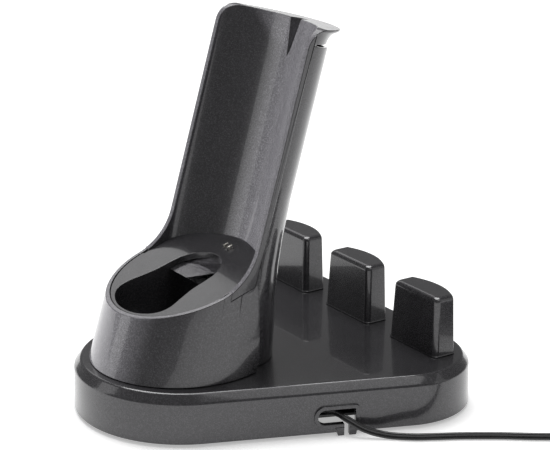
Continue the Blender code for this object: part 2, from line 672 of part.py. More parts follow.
def contact_wires():
    """Two wires from the housing's underside, behind the well, down to the lead's clamp."""
    start_up = -DECK_UNDER - GAP - HOUSING_DEPTH - GAP
    for side, name in ((1, "left"), (-1, "right")):
        y = side * CONTACT_SPREAD
        x0, _, z0 = contact_point(0.0, y, start_up)
        hole_x, _ = WIRE_HOLE
        entry_out = CLAMP_OUT - CLAMP_LONG / 2 - 1.0
        points = [(x0, y, z0), (x0 + 1.0, y, z0 - 8.0), (x0 - 1.0, y, 56.0),
                  (hole_x + 1.0, y, 40.0), (hole_x, y, 31.0), (hole_x + y / 2, -2.0 + y / 2, 21.0),
                  (hole_x + 4.0 + y, -14.0, 12.0),
                  wall_place(CLAMP_ALONG + y / 2, entry_out - 8.0, LEAD_AT_CLAMP + 0.5),
                  wall_place(CLAMP_ALONG + y / 2, entry_out - 0.5, LEAD_AT_CLAMP)]
        tube(f"contact_wire_{name}", even_curve(points, 4.0), 0.7,
             "wire_red" if side > 0 else "wire_black")


# Rear cover ------------------------------------------------------------------------------------


def cover_rings(inset, forward, low, high):
    """The cover's sections, turning from level at its foot to square across the lean above."""
    top = CRADLE_TOP - LIP_DROP - 0.6 + high
    lean_x, _, lean_z = cradle_point(0.0, COVER_START)
    high_x, _, high_z = cradle_point(top, COVER_START)
    stations = ((PARTING_FOOT_X + 0.5, BASE_TOP + GAP - low, 0.0, 32.0, 43.2),
                (PARTING_FOOT_X + 1.0, 70.0, 0.0, 33.6, 45.3),
                (POD_X + 26.3, 94.0, 0.4, 32.8, 46.4),
                (POD_X + 30.2, 110.5, 0.78, 31.2, 46.8),
                (lean_x, lean_z, 1.0, 29.6, 47.0),
                (high_x, high_z, 1.0, 29.6, 47.0))
    rings = []
    for x, z, share, depth, half in stations:
        tilt = LEAN * share
        arc = half_ellipse(0.0, depth - inset, half - inset)
        section = [(-forward, half - inset)] + arc + [(-forward, inset - half)] if forward else arc
        rings.append([(x + v * math.cos(tilt), y, z - v * math.sin(tilt)) for v, y in section])
    return rings


def rear_cover():
    cover = lofted("rear_cover", cover_rings(0.0, 0.0, 0.0, 0.0), "shell_plastic")
    cut(cover, lofted("cover_hollow", cover_rings(WALL - 0.2, 12.0, 2.0, 8.0)))
    room = channel_arc(CHANNEL_DEPTH, CRADLE_HALF - RIM_BAND + CHANNEL_SIDE + GAP)
    room = [(-20.0, 47.3)] + [(v + WALL + GAP, y) for v, y in room] + [(-20.0, -47.3)]
    cut(cover, lofted("channel_room", [[cradle_point(u, v, y) for v, y in room]
                                       for u in (-58.0, CRADLE_TOP + 12.0)]))
    x, y = CRADLE_SCREWS[3]
    add(cover, cylinder("cover_boss", x, y, 4.0, BASE_TOP + GAP, BASE_TOP + 12.0))
    cut(cover, cylinder("cover_pilot", x, y, SCREW_RADIUS + GAP, BASE_TOP - 1.0, BASE_TOP + 10.5,
                        steps=12))
    return cover


# Lead and its clamp ----------------------------------------------------------------------------

LEAD_RADIUS = LEAD_WIDTH / 2
CLAMP_ALONG, CLAMP_OUT = 62.0, 34.0
CLAMP_LONG, CLAMP_HALF, CLAMP_TALL = 8.0, 10.0, 8.2
LEAD_AT_CLAMP = PLATE_HIGH + 0.6 + LEAD_RADIUS
CLAMP_ENTRY = wall_place(CLAMP_ALONG, CLAMP_OUT - CLAMP_LONG / 2 - 1.0, LEAD_AT_CLAMP)
LEAD_ROUTE = (
    CLAMP_ENTRY,
    wall_place(CLAMP_ALONG, CLAMP_OUT, LEAD_AT_CLAMP),
    wall_place(CLAMP_ALONG + 1.0, CLAMP_OUT + 10.0, LEAD_AT_CLAMP + 0.3),
    wall_place(CLAMP_ALONG + 8.0, CLAMP_OUT + 20.0, 10.6),
    wall_place(80.6, 60.5, 12.4),
    wall_place(86.0, 67.2, 10.8),
    (16.2, -102.5, 5.6),
    (26.0, -110.6, 2.6),
    (37.1, -120.3, 2.4),
    (48.5, -127.3, 2.4),
    (61.7, -134.8, 2.4),
    (79.7, -146.7, 2.4),
    (97.0, -159.5, 2.4),
)
COIL_INNER, COIL_OUTER, COIL_HEIGHT = 17.4, 31.2, 13.8
OUTER_TURN = COIL_OUTER - LEAD_RADIUS - 0.6
LEAD_HEADING = math.radians(-34.0)
AHEAD = Vector((math.cos(LEAD_HEADING), math.sin(LEAD_HEADING), 0.0))
ASIDE = Vector((AHEAD.y, -AHEAD.x, 0.0))
MEETING = Vector((*LEAD_ROUTE[-1][:2], 0.0)) + AHEAD * 38.0
COIL_CENTRE = MEETING + ASIDE * OUTER_TURN
CLEAR_OF_COIL = math.sqrt((COIL_OUTER + LEAD_RADIUS + GAP) ** 2 - OUTER_TURN ** 2)


def clamp_screw_spots():
    return [wall_place(CLAMP_ALONG + side * 7.0, CLAMP_OUT, 0.0)[:2] for side in (1, -1)]


def lead_clamp():
    """A saddle that holds the lead down on the floor plate, with two screws."""
    low = PLATE_HIGH + GAP
    corners = ((-CLAMP_HALF, -CLAMP_LONG / 2), (CLAMP_HALF, -CLAMP_LONG / 2),
               (CLAMP_HALF, CLAMP_LONG / 2), (-CLAMP_HALF, CLAMP_LONG / 2))
    outline = [wall_place(CLAMP_ALONG + s, CLAMP_OUT + out, 0.0)[:2] for s, out in corners]
    clamp = prism("lead_clamp", outline, low, low + 4.0, "inner_plastic")
    tunnel, saddle = [], []
    for i in range(13):
        t = math.pi * i / 12
        tunnel.append((CLAMP_ALONG + (LEAD_RADIUS + GAP) * math.cos(t),
                       LEAD_AT_CLAMP + (LEAD_RADIUS + GAP) * math.sin(t)))
        saddle.append((CLAMP_ALONG + 4.6 * math.cos(t), LEAD_AT_CLAMP - 1.2 + 5.6 * math.sin(t)))
    reach = (CLAMP_OUT - CLAMP_LONG / 2, CLAMP_OUT + CLAMP_LONG / 2)
    add(clamp, wall_prism("clamp_saddle", [(saddle[0][0], low)] + saddle + [(saddle[-1][0], low)],
                          *reach))
    cut(clamp, wall_prism("clamp_tunnel",
                          [(tunnel[0][0], low - 1.0)] + tunnel + [(tunnel[-1][0], low - 1.0)],
                          reach[0] - 2.0, reach[1] + 2.0))
    for i, (x, y) in enumerate(clamp_screw_spots()):
        cut(clamp, cylinder(f"clamp_hole{i}", x, y, SCREW_RADIUS + GAP, low - 1.0, low + 6.0,
                            steps=12))
        head = low + 4.0 + GAP
        screw_down(f"clamp_screw_{i + 1}", x, y, head, PLATE_LOW + 0.6)
    return clamp


def screw_down(name, x, y, head_low, tip):
    """A pan-head screw driven downwards, with a cross-slot in the top of its head."""
    body = cylinder(name, x, y, SCREW_HEAD - 0.3, head_low, head_low + 1.5, "screw_steel")
    add(body, cylinder(name + "_shaft", x, y, SCREW_RADIUS, tip, head_low + 0.5, steps=12))
    for i, (across, along) in enumerate(((0.4, 1.7), (1.7, 0.4))):
        low = (x - across, y - along, head_low + 0.8)
        cut(body, box(f"{name}_slot{i}", low, (x + across, y + along, head_low + 2.5)))
    return body


def free_lead():
    """The lead from its clamp to the coil, the coil's outer shape, and its tie."""
    last = MEETING - AHEAD * CLEAR_OF_COIL
    route = LEAD_ROUTE + ((last.x, last.y, LEAD_ROUTE[-1][2]),)
    tube("power_lead", even_curve(route, 9.0), LEAD_RADIUS, "lead_vinyl")
    ring = bmesh.new()
    rounding = 3.0
    middle, top = COIL_HEIGHT / 2 + 0.1, COIL_HEIGHT / 2
    half = (COIL_OUTER - COIL_INNER) / 2
    section = []
    for cx, cz, first in ((half - rounding, top - rounding, 0.0),
                          (rounding - half, top - rounding, math.pi / 2),
                          (rounding - half, rounding - top, math.pi),
                          (half - rounding, rounding - top, 1.5 * math.pi)):
        section += circle(cx, cz, rounding, 3, first, math.pi / 2)
    radius = (COIL_OUTER + COIL_INNER) / 2
    rows = []
    steps = 30
    for i in range(steps):
        t = 2 * math.pi * i / steps
        rows.append([ring.verts.new((COIL_CENTRE[0] + (radius + a) * math.cos(t),
                                     COIL_CENTRE[1] + (radius + a) * math.sin(t), middle + b))
                     for a, b in section])
    for here, after in zip(rows, rows[1:] + rows[:1]):
        for k in range(len(section)):
            m = (k + 1) % len(section)
            ring.faces.new((here[k], after[k], after[m], here[m]))
    from_bmesh("lead_coil", ring, "lead_vinyl")


# Wall adapter ----------------------------------------------------------------------------------

ADAPTER_HALF, ADAPTER_WIDE, ADAPTER_TALL = 30.0, 21.0, 27.0
RELIEF_LONG, TAIL_LONG = 22.0, 14.0
ADAPTER_CENTRE = MEETING + AHEAD * (CLEAR_OF_COIL + TAIL_LONG + RELIEF_LONG + ADAPTER_HALF)
ADAPTER_WALL = 2.2
FACE_THICK = 2.6
BLADE_REACH, BLADE_GAP_Y = 17.0, 6.35


def adapter_place(along, across, z):
    spot = ADAPTER_CENTRE + AHEAD * along - ASIDE * across
    return (spot.x, spot.y, z)


def adapter_block(name, start, end, half, low, high, corner, finish=None):
    """A block along the adapter with its four long edges rounded."""
    middle = (low + high) / 2
    tall = (high - low) / 2
    section = []
    for sx, sz, first in ((1, 1, 0.0), (-1, 1, math.pi / 2), (-1, -1, math.pi),
                          (1, -1, 1.5 * math.pi)):
        section += circle(sx * (half - corner), middle + sz * (tall - corner), corner, 5, first,
                          math.pi / 2)
    return lofted(name, [[adapter_place(a, y, z) for y, z in section] for a in (start, end)],
                  finish)


def wall_adapter():
    """The adapter lies beside the coil: a cup, its pronged face, and what is inside."""
    low, high = 0.1, 0.1 + ADAPTER_TALL
    back, front = -ADAPTER_HALF, ADAPTER_HALF - FACE_THICK - GAP
    cup = adapter_block("adapter_cup", back, front, ADAPTER_WIDE, low, high, 4.0,
                        "adapter_plastic")
    cut(cup, adapter_block("cup_hollow", back + ADAPTER_WALL, front + 2.0,
                           ADAPTER_WIDE - ADAPTER_WALL, low + ADAPTER_WALL, high - ADAPTER_WALL,
                           2.0))
    face = adapter_block("adapter_face", front + GAP, ADAPTER_HALF, ADAPTER_WIDE, low, high, 4.0,
                         "adapter_plastic")
    middle = (low + high) / 2
    for side, name in ((1, "left"), (-1, "right")):
        y = side * BLADE_GAP_Y
        slot = adapter_block(f"prong_slot_{name}", front - 2.0, ADAPTER_HALF + 2.0, 0.75 + GAP,
                             middle - 3.2 - GAP, middle + 3.2 + GAP, 0.1)
        prong = adapter_block(f"adapter_prong_{name}", front - 3.0, ADAPTER_HALF + BLADE_REACH,
                              0.75, middle - 3.2, middle + 3.2, 0.3, "contact_metal")
        for piece in (slot, prong):
            piece.location = (Vector(adapter_place(0.0, y, 0.0))
                              - Vector(adapter_place(0.0, 0.0, 0.0))) * MM
        cut(face, slot)
    adapter_block("transformer_core", back + ADAPTER_WALL + 8.0, back + ADAPTER_WALL + 33.0, 15.0,
                  low + ADAPTER_WALL + 3.0, high - ADAPTER_WALL - 1.0, 1.0, "transformer_iron")
    adapter_block("adapter_board", back + ADAPTER_WALL + 6.0, front - 6.0, 16.0,
                  low + ADAPTER_WALL + 0.5, low + ADAPTER_WALL + 2.1, 0.3, "circuit_board")
    rings = []
    for along, radius in ((back - GAP, 4.6), (back - 3.0, 4.4), (back - RELIEF_LONG, 3.1)):
        rings.append([adapter_place(along, y, z)
                      for y, z in circle(0.0, middle, radius, 16)])
    lofted("adapter_relief", rings, "lead_vinyl")


def lead_to_adapter():
    """The short stretch from the coil's top turn to the adapter's strain relief."""
    start = MEETING + AHEAD * CLEAR_OF_COIL
    end = adapter_place(-ADAPTER_HALF - RELIEF_LONG - GAP, 0.0, 0.1 + ADAPTER_TALL / 2)
    route = [(start.x, start.y, COIL_HEIGHT - LEAD_RADIUS), end]
    tube("lead_tail", even_curve(route, 6.0), LEAD_RADIUS, "lead_vinyl")


def coil_tie():
    """A flat band around the coil's section."""
    turn = math.radians(100.0)
    out = Vector((math.cos(turn), math.sin(turn), 0.0))
    along = Vector((-out.y, out.x, 0.0))
    bodies = []
    for grow, half in ((1.3, 3.0), (GAP + 0.05, 5.0)):
        near, far = COIL_INNER - grow, COIL_OUTER + grow
        low, high = 0.0, COIL_HEIGHT + 0.1 + grow
        bodies.append([[tuple(COIL_CENTRE + out * r + along * side + Vector((0, 0, z)))
                        for r, z in ((near, low), (far, low), (far, high), (near, high))]
                       for side in (-half, half)])
    tie = lofted("coil_tie", bodies[0], "inner_plastic")
    cut(tie, lofted("tie_room", bodies[1]))
    return tie


def main():
    clear_scene()
    base_housing()
    base_plate()
    feet_and_screws()
    for side, y in zip(("left", "middle", "right"), post_rows()):
        attachment_post(side, y)
    cradle_shell()
    docking_deck()
    contact_housing()
    contact_blades()
    rear_cover()
    lead_clamp()
    contact_wires()
    free_lead()
    coil_tie()
    wall_adapter()
    lead_to_adapter()


main()
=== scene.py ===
"""Looks for the charging stand: smooth shells over the CAD frame, the lead in its coil, materials,
soft studio light and the camera.

Lengths are in millimetres, and MM turns them into metres when a mesh is made.
"""
import json
import math

import bmesh
import bpy
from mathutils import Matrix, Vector


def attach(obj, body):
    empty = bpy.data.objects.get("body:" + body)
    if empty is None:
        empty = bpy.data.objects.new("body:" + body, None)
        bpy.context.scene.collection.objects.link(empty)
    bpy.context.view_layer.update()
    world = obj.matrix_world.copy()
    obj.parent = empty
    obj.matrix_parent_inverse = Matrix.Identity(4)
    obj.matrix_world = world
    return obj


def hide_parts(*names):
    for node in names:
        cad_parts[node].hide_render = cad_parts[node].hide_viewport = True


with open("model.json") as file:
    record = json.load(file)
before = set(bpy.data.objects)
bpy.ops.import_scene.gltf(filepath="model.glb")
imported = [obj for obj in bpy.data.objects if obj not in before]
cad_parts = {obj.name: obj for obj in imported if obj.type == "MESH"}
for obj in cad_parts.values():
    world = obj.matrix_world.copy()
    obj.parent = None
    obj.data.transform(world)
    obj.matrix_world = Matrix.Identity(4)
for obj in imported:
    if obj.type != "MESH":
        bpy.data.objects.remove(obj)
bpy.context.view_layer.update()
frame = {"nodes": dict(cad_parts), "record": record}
NODES = frame["nodes"]
MM = 0.001

# The stand's driving dimensions, the same as the CAD part's
GAP, WALL = 0.35, 2.4
FOOT_LIFT, BASE_TOP = 2.0, 31.8
NOSE_X, NOSE_RADIUS = -42.2, 66.9
CORNER_X, CORNER_Y, CORNER_RADIUS = 64.2, 66.1, 44.9
CHAMFER_LOW, CHAMFER_INSET, DRAFT_INSET = 26.7, 4.9, 0.5
POD_X, POD_FOOT_RADIUS = -46.0, 54.0
POD_HIGH, POD_HIGH_X, POD_HIGH_FRONT, POD_HIGH_SIDE = 81.2, POD_X + 3.6, 41.1, 49.2
PARTING_FOOT_X, PARTING_HIGH_X = POD_X + 22.6, POD_X + 24.9
DECK_AT_POD, DECK_SLOPE, DECK_THICK = 81.3, 0.328, 2.5
LEAN = math.radians(16.4)
RIM_X, RIM_Z = POD_X + 32.9, 134.8
CRADLE_TOP, TOP_TILT, TOP_RADIUS, RIM_FILLET = 99.6, 0.07, 12.6, 37.0
CRADLE_HALF, RIM_BAND = 49.5, 3.8
CHANNEL_DEPTH, RETURN_DEPTH = 22.6, 3.6
CHANNEL_FLAT, CHANNEL_STEEP, CHANNEL_SIDE = 1.75, 0.58, 1.2
LIP_DEPTH, LIP_DROP, COVER_START = 41.4, 9.0, 4.0
POST_X, POST_Y, POST_HALF, POST_SIDE, POST_SAGITTA = 75.4, 67.8, 22.5, 14.4, 8.1
POST_HEIGHT, POST_DRAFT, POST_EDGE, POST_CORNER = 36.6, 1.5, 3.0, 3.4
LEAD_RADIUS = 2.2
WELL_FLOOR = 40.0

# Camera, lens in millimetres on a 36 mm sensor
CAMERA_PLACE = (-0.5715, -0.8927, 0.4502)
CAMERA_HEADING, CAMERA_PITCH = math.radians(33.62), math.radians(-18.08)
CAMERA_LENS = 122.2


def place_camera():
    data = bpy.data.cameras.new("camera")
    data.lens, data.sensor_width = CAMERA_LENS, 36.0
    camera = bpy.data.objects.new("camera", data)
    bpy.context.scene.collection.objects.link(camera)
    level = math.cos(CAMERA_PITCH)
    looks = Vector((math.sin(CAMERA_HEADING) * level, math.cos(CAMERA_HEADING) * level,
                    math.sin(CAMERA_PITCH)))
    camera.location = CAMERA_PLACE
    camera.rotation_euler = looks.to_track_quat("-Z", "Y").to_euler()
    bpy.context.scene.camera = camera


# Materials -------------------------------------------------------------------------------------

NOISE_LOW, NOISE_HIGH = 0.3, 0.7


class Finish:
    """A node material round one Principled shader, with helpers for its procedural inputs."""

    def __init__(self, name, **values):
        self.material = bpy.data.materials.new(name)
        self.material.use_nodes = True
        self.tree = self.material.node_tree
        self.shader = self.tree.nodes["Principled BSDF"]
        for socket, value in values.items():
            self.shader.inputs[socket.replace("_", " ")].default_value = value
        self.place = self.tree.nodes.new("ShaderNodeTexCoord").outputs["Object"]

    def noise(self, scale, detail=2.0):
        node = self.tree.nodes.new("ShaderNodeTexNoise")
        node.inputs["Scale"].default_value = scale
        node.inputs["Detail"].default_value = detail
        self.tree.links.new(self.place, node.inputs["Vector"])
        return node.outputs["Fac"]

    def specks(self, scale):
        node = self.tree.nodes.new("ShaderNodeTexVoronoi")
        node.inputs["Scale"].default_value = scale
        self.tree.links.new(self.place, node.inputs["Vector"])
        return node.outputs["Color"]

    def spread(self, factor, low, high):
        """Maps a noise's usual range onto low to high."""
        node = self.tree.nodes.new("ShaderNodeMapRange")
        for socket, value in (("From Min", NOISE_LOW), ("From Max", NOISE_HIGH),
                              ("To Min", low), ("To Max", high)):
            node.inputs[socket].default_value = value
        self.tree.links.new(factor, node.inputs["Value"])
        return node.outputs["Result"]

    def ramp(self, factor, *stops):
        node = self.tree.nodes.new("ShaderNodeValToRGB")
        while len(node.color_ramp.elements) < len(stops):
            node.color_ramp.elements.new(0.5)
        for element, (spot, color) in zip(node.color_ramp.elements, stops):
            element.position = spot
            element.color = (*color, 1.0)
        self.tree.links.new(factor, node.inputs["Fac"])
        return node.outputs["Color"]

    def link(self, output, socket):
        self.tree.links.new(output, self.shader.inputs[socket])

    def bump(self, factor, strength, distance):
        node = self.tree.nodes.new("ShaderNodeBump")
        node.inputs["Strength"].default_value = strength
        node.inputs["Distance"].default_value = distance
        self.tree.links.new(factor, node.inputs["Height"])
        self.link(node.outputs["Normal"], "Normal")


def shell_finish(name, dark, light, rough, fleck, coat):
    """Gunmetal plastic: a metallic fleck under a clear gloss, with faint mould ripple."""
    made = Finish(name, Metallic=0.3, Coat_Weight=coat, Coat_Roughness=0.04, IOR=1.5)
    made.link(made.ramp(made.specks(fleck), (0.0, dark), (0.5, dark), (0.95, light)),
              "Base Color")
    made.link(made.spread(made.noise(60.0), rough * 0.9, rough * 1.15), "Roughness")
    made.bump(made.noise(700.0, 2.0), 0.03, 0.0001)
    return made.material


def plain_finish(name, dark, light, rough, scale, bump, metallic=0.0, coat=0.0):
    """A plastic, rubber or metal with mottled colour, uneven gloss and a fine grain."""
    made = Finish(name, Metallic=metallic, Coat_Weight=coat, Coat_Roughness=0.1)
    made.link(made.ramp(made.noise(scale * 0.15, 3.0), (0.3, dark), (0.7, light)), "Base Color")
    made.link(made.spread(made.noise(scale * 0.4), rough * 0.85, rough * 1.15), "Roughness")
    made.bump(made.noise(scale, 4.0), bump, 0.0002)
    return made.material


FINISHES = {
    "shell_plastic": shell_finish("shell_gloss", (0.036, 0.035, 0.038), (0.085, 0.083, 0.09),
                                  0.22, 2400.0, 0.6),
    "inner_plastic": plain_finish("inner_matt", (0.014, 0.014, 0.015), (0.026, 0.026, 0.028),
                                  0.5, 1500.0, 0.2),
    "rubber": plain_finish("foot_rubber", (0.01, 0.01, 0.01), (0.02, 0.02, 0.02), 0.8, 1200.0,
                           0.4),
    "contact_metal": plain_finish("contact_nickel", (0.62, 0.6, 0.55), (0.85, 0.83, 0.78), 0.25,
                                  2500.0, 0.1, metallic=1.0),
    "screw_steel": plain_finish("screw_zinc", (0.4, 0.41, 0.43), (0.6, 0.61, 0.63), 0.35, 1800.0,
                                0.15, metallic=1.0),
    "lead_vinyl": plain_finish("lead_vinyl", (0.006, 0.006, 0.0065), (0.012, 0.012, 0.013), 0.3,
                               1400.0, 0.1, coat=0.3),
    "wire_red": plain_finish("wire_red", (0.4, 0.015, 0.015), (0.55, 0.03, 0.03), 0.4, 1500.0,
                             0.1),
    "wire_black": plain_finish("wire_black", (0.01, 0.01, 0.01), (0.02, 0.02, 0.02), 0.4, 1500.0,
                               0.1),
    "adapter_plastic": plain_finish("adapter_grain", (0.01, 0.01, 0.011), (0.017, 0.017, 0.018),
                                    0.45, 1100.0, 0.5),
    "circuit_board": plain_finish("board_mask", (0.01, 0.06, 0.02), (0.02, 0.1, 0.035), 0.35,
                                  900.0, 0.1),
    "transformer_iron": plain_finish("iron_varnish", (0.08, 0.07, 0.06), (0.16, 0.15, 0.14), 0.5,
                                     700.0, 0.4, metallic=0.6),
}


# Geometry helpers ------------------------------------------------------------------------------


def linked(name, mesh):
    """An object from a bmesh in millimetres, without a material."""
    bmesh.ops.recalc_face_normals(mesh, faces=mesh.faces)
    bmesh.ops.scale(mesh, vec=(MM, MM, MM), verts=mesh.verts)
    data = bpy.data.meshes.new(name)
    mesh.to_mesh(data)
    mesh.free()
    made = bpy.data.objects.new(name, data)
    bpy.context.scene.collection.objects.link(made)
    return made


def loft(name, rings):
    """A solid through rings of equal length, capped flat."""
    mesh = bmesh.new()
    rows = [[mesh.verts.new(p) for p in ring] for ring in rings]
    count = len(rows[0])
    for low, high in zip(rows, rows[1:]):
        for i in range(count):
            j = (i + 1) % count
            mesh.faces.new((low[i], low[j], high[j], high[i]))
    mesh.faces.new(rows[0][::-1])
    mesh.faces.new(rows[-1])
    return linked(name, mesh)


def settle(piece, *steps):
    """Applies a list of (operation, tool) booleans and removes the tools."""
    for operation, tool in steps:
        change = piece.modifiers.new(tool.name, "BOOLEAN")
        change.object, change.operation, change.solver = tool, operation, "EXACT"
    seen = piece.evaluated_get(bpy.context.evaluated_depsgraph_get())
    data = bpy.data.meshes.new_from_object(seen)
    piece.modifiers.clear()
    piece.data = data
    for _, tool in steps:
        bpy.data.objects.remove(tool, do_unlink=True)
    return piece


def soften(piece, width, angle):
    """Rounds the edges sharper than angle degrees by width mm, and keeps flat faces flat."""
    piece.data.shade_smooth()
    edge = piece.modifiers.new("edges", "BEVEL")
    edge.width, edge.segments = width * MM, 2
    edge.limit_method, edge.angle_limit = "ANGLE", math.radians(angle)
    edge.use_clamp_overlap = False
    edge.miter_outer = "MITER_ARC"
    normals = piece.modifiers.new("normals", "WEIGHTED_NORMAL")
    normals.keep_sharp = True


def dress(piece, slot, body, *nodes):
    """Gives a new piece its finish, its body and the CAD nodes it stands for."""
    piece.data.materials.clear()
    piece.data.materials.append(FINISHES[slot])
    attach(piece, body)
    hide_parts(*nodes)


def circle(x, y, radius, steps=48, start=0.0, sweep=2 * math.pi):
    whole = abs(sweep) >= 2 * math.pi - 1e-6
    turns = [start + sweep * i / (steps if whole else steps - 1) for i in range(steps)]
    return [(x + radius * math.cos(t), y + radius * math.sin(t)) for t in turns]


def side_prism(name, outline, half):
    return loft(name, [[(x, y, z) for x, z in outline] for y in (-half, half)])


def smooth_curve(points, per_span):
    """Points along a Catmull-Rom curve through the given ones."""
    spots = [Vector(p) for p in [points[0]] + list(points) + [points[-1]]]
    path = []
    for a, b, c, d in zip(spots, spots[1:], spots[2:], spots[3:]):
        for i in range(per_span):
            t = i / per_span
            path.append(0.5 * ((2 * b) + (c - a) * t + (2 * a - 5 * b + 4 * c - d) * t * t
                               + (3 * b - a - 3 * c + d) * t ** 3))
    path.append(spots[-1])
    return path


# Outlines --------------------------------------------------------------------------------------

POD_STEPS, ARC_STEPS, LIP_STEPS = 97, 73, 65
BELOW = 200.0


def base_outline(inset):
    nose, corner = NOSE_RADIUS - inset, CORNER_RADIUS - inset
    reach = math.hypot(CORNER_X - NOSE_X, CORNER_Y)
    lean = math.atan2(CORNER_Y, CORNER_X - NOSE_X) + math.acos((nose - corner) / reach)
    points = circle(CORNER_X, CORNER_Y, corner, 40, 0.0, lean)
    points += circle(NOSE_X, 0.0, nose, 97, lean, 2 * (math.pi - lean))
    return points + circle(CORNER_X, -CORNER_Y, corner, 40, -lean, lean)


def base_ring(inset, z):
    return [(x, y, z) for x, y in base_outline(inset)]


def pod_ring(z, inset, rear_extra):
    """The pod's outline at a height: a full front that narrows upwards, and bulging flanks."""
    rise = (z - BASE_TOP) / (POD_HIGH - BASE_TOP)
    part = min(rise, 1.0)
    centre = POD_X + (POD_HIGH_X - POD_X) * part
    front = POD_FOOT_RADIUS + (POD_HIGH_FRONT - POD_FOOT_RADIUS) * part - inset
    side = POD_FOOT_RADIUS + (POD_HIGH_SIDE - POD_FOOT_RADIUS) * part - inset
    bulge = POD_FOOT_RADIUS * (1 - part) + 400.0 * part
    rear = PARTING_FOOT_X + (PARTING_HIGH_X - PARTING_FOOT_X) * rise
    flank = []
    for i in range(13):
        x = centre + (rear - centre) * i / 12
        flank.append((x, side * math.sqrt(max(0.0, 1 - ((x - centre) / bulge) ** 2))))
    if rear_extra:
        flank.append((rear + rear_extra, flank[-1][1]))
    turns = [math.pi / 2 + math.pi * i / (POD_STEPS - 1) for i in range(POD_STEPS)]
    arc = [(centre + front * math.cos(t), side * math.sin(t)) for t in turns]
    ring = [(x, y) for x, y in flank[:0:-1]] + arc + [(x, -y) for x, y in flank[1:]]
    return [(x, y, z) for x, y in ring]


def pod_solid(name, inset, rear_extra, low):
    levels = (low, 44.0, 56.0, 68.0, POD_HIGH, POD_HIGH + 30.0)
    return loft(name, [pod_ring(z, inset, rear_extra) for z in levels])


def deck_height(x, below=0.0):
    return DECK_AT_POD + DECK_SLOPE * (x - POD_X) - below


def cradle_point(along, behind, y=0.0):
    return (RIM_X + along * math.sin(LEAN) + behind * math.cos(LEAN), y,
            RIM_Z + along * math.cos(LEAN) - behind * math.sin(LEAN))


def cradle_side(along, behind):
    x, _, z = cradle_point(along, behind)
    return (x, z)


def filleted(before, corner, after, radius, steps):
    a, c, b = Vector(before), Vector(corner), Vector(after)
    to_a, to_b = (a - c).normalized(), (b - c).normalized()
    half = to_a.angle(to_b) / 2
    centre = c + (to_a + to_b).normalized() * radius / math.sin(half)
    start = c + to_a * radius / math.tan(half) - centre
    end = c + to_b * radius / math.tan(half) - centre
    first = math.atan2(start.y, start.x)
    sweep = (math.atan2(end.y, end.x) - first + math.pi) % (2 * math.pi) - math.pi
    return [(centre.x + radius * math.cos(first + sweep * i / steps),
             centre.y + radius * math.sin(first + sweep * i / steps)) for i in range(steps + 1)]


def side_profile():
    """The stand's whole side view as (x, z): the deck's slope, the knee, the rim and the top."""
    front = (POD_X - 80.0, deck_height(POD_X - 80.0))
    run = (DECK_AT_POD + DECK_SLOPE * (RIM_X - POD_X) - RIM_Z) / (
        math.cos(LEAN) - DECK_SLOPE * math.sin(LEAN))
    knee, top = cradle_side(run, 0.0), cradle_side(CRADLE_TOP, 0.0)
    back = cradle_side(CRADLE_TOP + 90.0 * TOP_TILT, 90.0)
    outline = [front] + filleted(front, knee, top, RIM_FILLET, 36)
    outline += filleted(knee, top, back, TOP_RADIUS, 24)
    return outline + [back, (back[0], front[1] - BELOW), (front[0], front[1] - BELOW)]


def channel_arc(depth, half):
    """The half-pipe's section as (behind, y) from +y to -y: steep at the rims, round behind."""
    across = [math.cos(math.pi * i / (ARC_STEPS - 1)) for i in range(ARC_STEPS)]
    return [(depth * (1 - abs(a) ** CHANNEL_FLAT) ** CHANNEL_STEEP, half * a) for a in across]


def half_ellipse(start, depth, half):
    turns = [math.pi / 2 - math.pi * i / (LIP_STEPS - 1) for i in range(LIP_STEPS)]
    return [(start + depth * math.cos(t), half * math.sin(t)) for t in turns]


WELL_WIDTHS = ((-38.1, 0.0), (-37.4, 8.0), (-35.2, 15.0), (-31.4, 21.4), (-26.4, 25.2),
               (-20.4, 25.9), (-12.0, 23.4), (-3.4, 21.0), (5.4, 20.2), (12.4, 19.2), (18.2, 16.2),
               (22.8, 11.4), (25.4, 5.6), (26.1, 0.0))


def well_outline(inset):
    loop = [(POD_X + x, w) for x, w in WELL_WIDTHS]
    loop += [(POD_X + x, -w) for x, w in WELL_WIDTHS[-2:0:-1]]
    closed = [Vector(p) for p in [loop[-1]] + loop + loop[:2]]
    dense = []
    for a, b, c, d in zip(closed, closed[1:], closed[2:], closed[3:]):
        for t in (0.0, 0.2, 0.4, 0.6, 0.8):
            dense.append(0.5 * ((2 * b) + (c - a) * t + (2 * a - 5 * b + 4 * c - d) * t * t
                                + (3 * b - a - 3 * c + d) * t ** 3))
    shifted = []
    for before, here, after in zip(dense[-1:] + dense, dense, dense[1:] + dense[:1]):
        tangent = (after - before).normalized()
        shifted.append((here.x + tangent.y * inset, here.y - tangent.x * inset))
    return shifted


# Base ------------------------------------------------------------------------------------------

WALL_TURN = math.atan2(CORNER_Y, CORNER_X - NOSE_X) + math.acos(
    (NOSE_RADIUS - CORNER_RADIUS) / math.hypot(CORNER_X - NOSE_X, CORNER_Y))
WALL_OUT = Vector((math.cos(WALL_TURN), -math.sin(WALL_TURN), 0.0))
WALL_ALONG = Vector((math.sin(WALL_TURN), math.cos(WALL_TURN), 0.0))
WALL_DISTANCE = Vector((NOSE_X - POD_X, 0.0, 0.0)).dot(WALL_OUT) + NOSE_RADIUS
SLOT_START, SLOT_END, SLOT_LOW, SLOT_HIGH = 69.4, 91.6, 7.6, 16.7
COLLAR, COLLAR_PROUD = 2.3, 1.1
NOTCH_START, NOTCH_END = 84.9, 87.8
LEG_START, LEG_END, LEG_LOW = 79.5, 93.0, 0.3


def wall_place(along, out, z):
    spot = WALL_ALONG * along + WALL_OUT * out
    return (POD_X + spot.x, spot.y, z)


